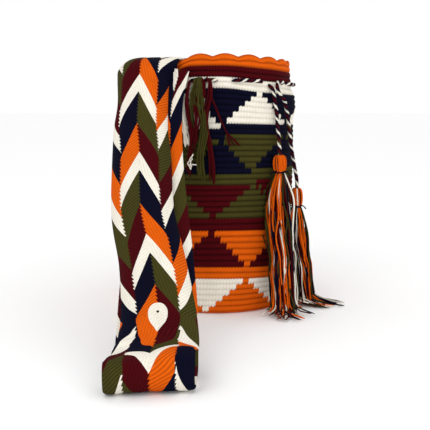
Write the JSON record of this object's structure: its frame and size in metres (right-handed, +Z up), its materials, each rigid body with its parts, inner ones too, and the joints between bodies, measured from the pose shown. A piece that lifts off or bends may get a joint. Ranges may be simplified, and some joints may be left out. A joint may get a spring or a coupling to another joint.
{
  "type": "wayuu mochila bag",
  "caption": "Round crocheted shoulder bag that stands open on its base, with a wide braided strap, a threaded drawstring with tassels and hanging yarn ends.",
  "frame": {"origin": "centre of the underside of the bag's base, on the surface it stands on", "axes": "+Z up along the bag's axis, -Y the front that the strap leans out from, +X the side that the tassels hang on"},
  "size_m": [0.2647, 0.4741, 0.2997],
  "materials": {
    "body_cotton": "crocheted cotton in fields of orange, burgundy, white, navy and olive, matt and slightly fuzzy",
    "strap_cotton": "braided cotton in slanting stripes of the five yarn colours, matt",
    "cord_cotton": "twisted cotton cord of white, navy, burgundy and olive strands, matt",
    "tassel_yarn": "loose cotton yarns in the five colours, matt",
    "tie_yarn": "navy cotton yarn, matt",
    "olive_yarn": "loose olive cotton yarn, matt",
    "white_yarn": "loose off-white cotton yarn, matt",
    "burgundy_yarn": "loose burgundy cotton yarn, matt"
  },
  "bodies": {
    "root": {"bag_body": "body_cotton", "strap": "strap_cotton", "drawstring": "cord_cotton", "front_tassel": "tassel_yarn", "front_tassel_tie": "tie_yarn", "rear_tassel": "tassel_yarn", "rear_tassel_tie": "tie_yarn", "front_fringe_olive": "olive_yarn", "front_fringe_white": "white_yarn", "front_fringe_burgundy_left": "burgundy_yarn", "front_fringe_burgundy_right": "burgundy_yarn", "front_seam_yarn": "burgundy_yarn", "back_fringe_olive": "olive_yarn", "back_fringe_burgundy": "burgundy_yarn", "back_seam_yarn": "burgundy_yarn"}
  },
  "joints": []
}
